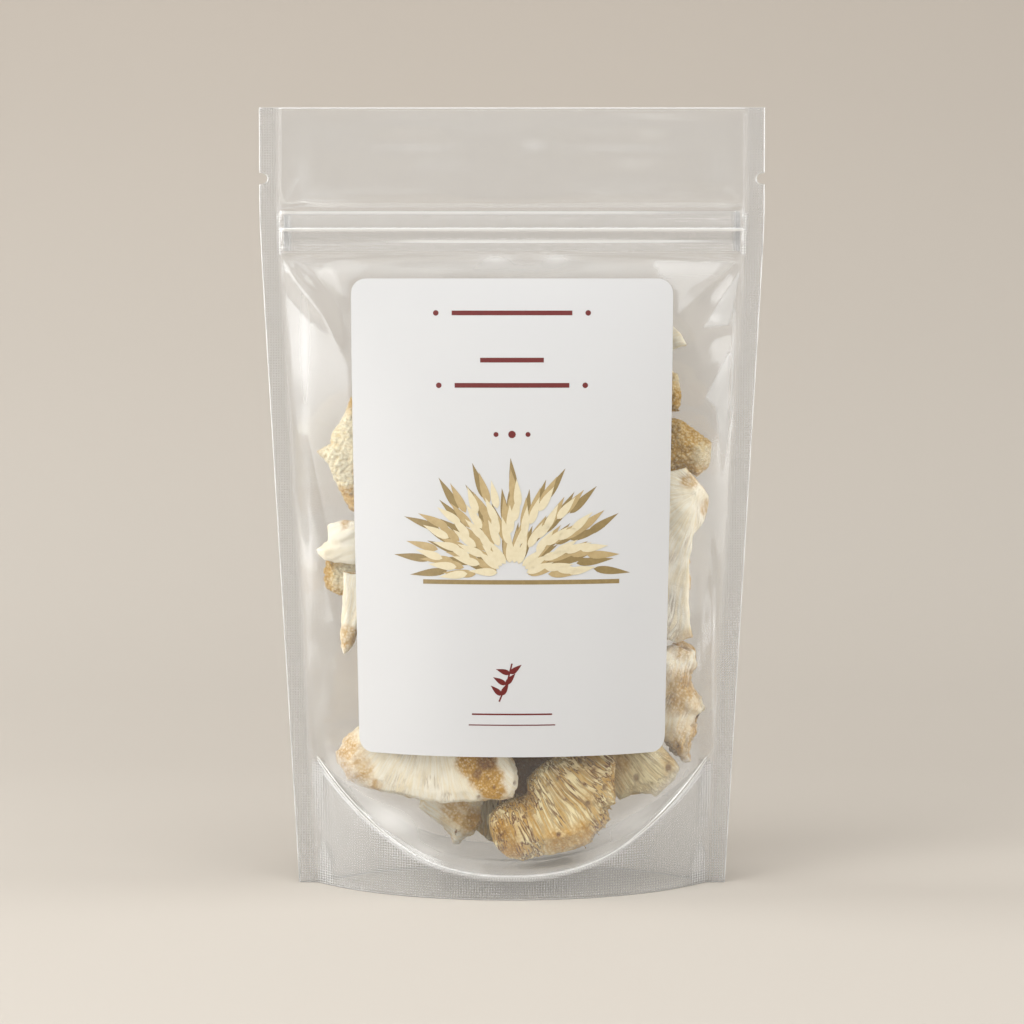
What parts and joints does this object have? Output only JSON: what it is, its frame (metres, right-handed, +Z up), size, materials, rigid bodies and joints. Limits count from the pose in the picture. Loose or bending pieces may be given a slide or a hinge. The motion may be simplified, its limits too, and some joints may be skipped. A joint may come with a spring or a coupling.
{
  "type": "stand-up pouch of dried mushroom",
  "caption": "Clear stand-up zip pouch with a round bottom gusset and a paper label, filled with dried slices and toothed pieces of lion's mane mushroom.",
  "frame": {"origin": "middle of the pouch's footprint, on the surface that it stands on", "axes": "+X to the right as seen from the front, +Y from the label to the back wall, +Z up along the pouch's height"},
  "size_m": [0.16, 0.0688, 0.247],
  "materials": {
    "clear_film": "clear, glossy, slightly hazy",
    "zip_profile": "milky, satin",
    "label_paper": "smooth, semi-matt coated paper",
    "dried_flesh": "dry, matt, fine-grained",
    "dried_teeth": "dry, matt, fibrous",
    "golden_crust": "dry, matt, granular"
  },
  "bodies": {
    "root": {"front_film": "clear_film", "back_film": "clear_film", "bottom_gusset": "clear_film", "zip_ribs_front": "zip_profile", "zip_lips_back": "zip_profile", "label": "label_paper", "slice_upper_left": "dried_flesh", "folded_slice_left": "dried_flesh", "golden_lump_left": "golden_crust", "tail_sliver_left": "dried_flesh", "broad_slice": "dried_flesh", "wedge_slice": "dried_flesh", "toothed_slice": "dried_teeth", "toothed_slice_right": "dried_teeth", "crumpled_strip_right": "dried_flesh", "petal_slice_right": "dried_flesh", "golden_chunk_right": "golden_crust", "crust_strip_right": "golden_crust", "pale_tip_right": "dried_flesh", "slab_low_back_middle": "dried_teeth", "slab_low_back_left": "dried_flesh", "slab_low_back_right": "dried_flesh", "slab_shadowed": "golden_crust", "slab_low_middle": "dried_flesh", "slab_prop_left": "dried_flesh", "slab_front_left": "dried_teeth", "slab_front_right": "dried_flesh", "slab_core_low": "dried_flesh", "slab_back_middle": "dried_flesh", "slab_back_left": "golden_crust", "slab_back_right": "dried_teeth", "slab_middle_back_left": "dried_flesh", "slab_middle_back_right": "dried_flesh", "slab_middle_front_left": "dried_flesh", "slab_middle_front_right": "golden_crust", "slab_upper_back_right": "dried_teeth", "slab_core_high": "dried_teeth", "slab_high_front": "dried_flesh", "slab_high_back_left": "golden_crust", "slab_high_back_right": "dried_flesh", "slab_top_left": "dried_flesh", "slab_top_right": "golden_crust"}
  },
  "joints": []
}
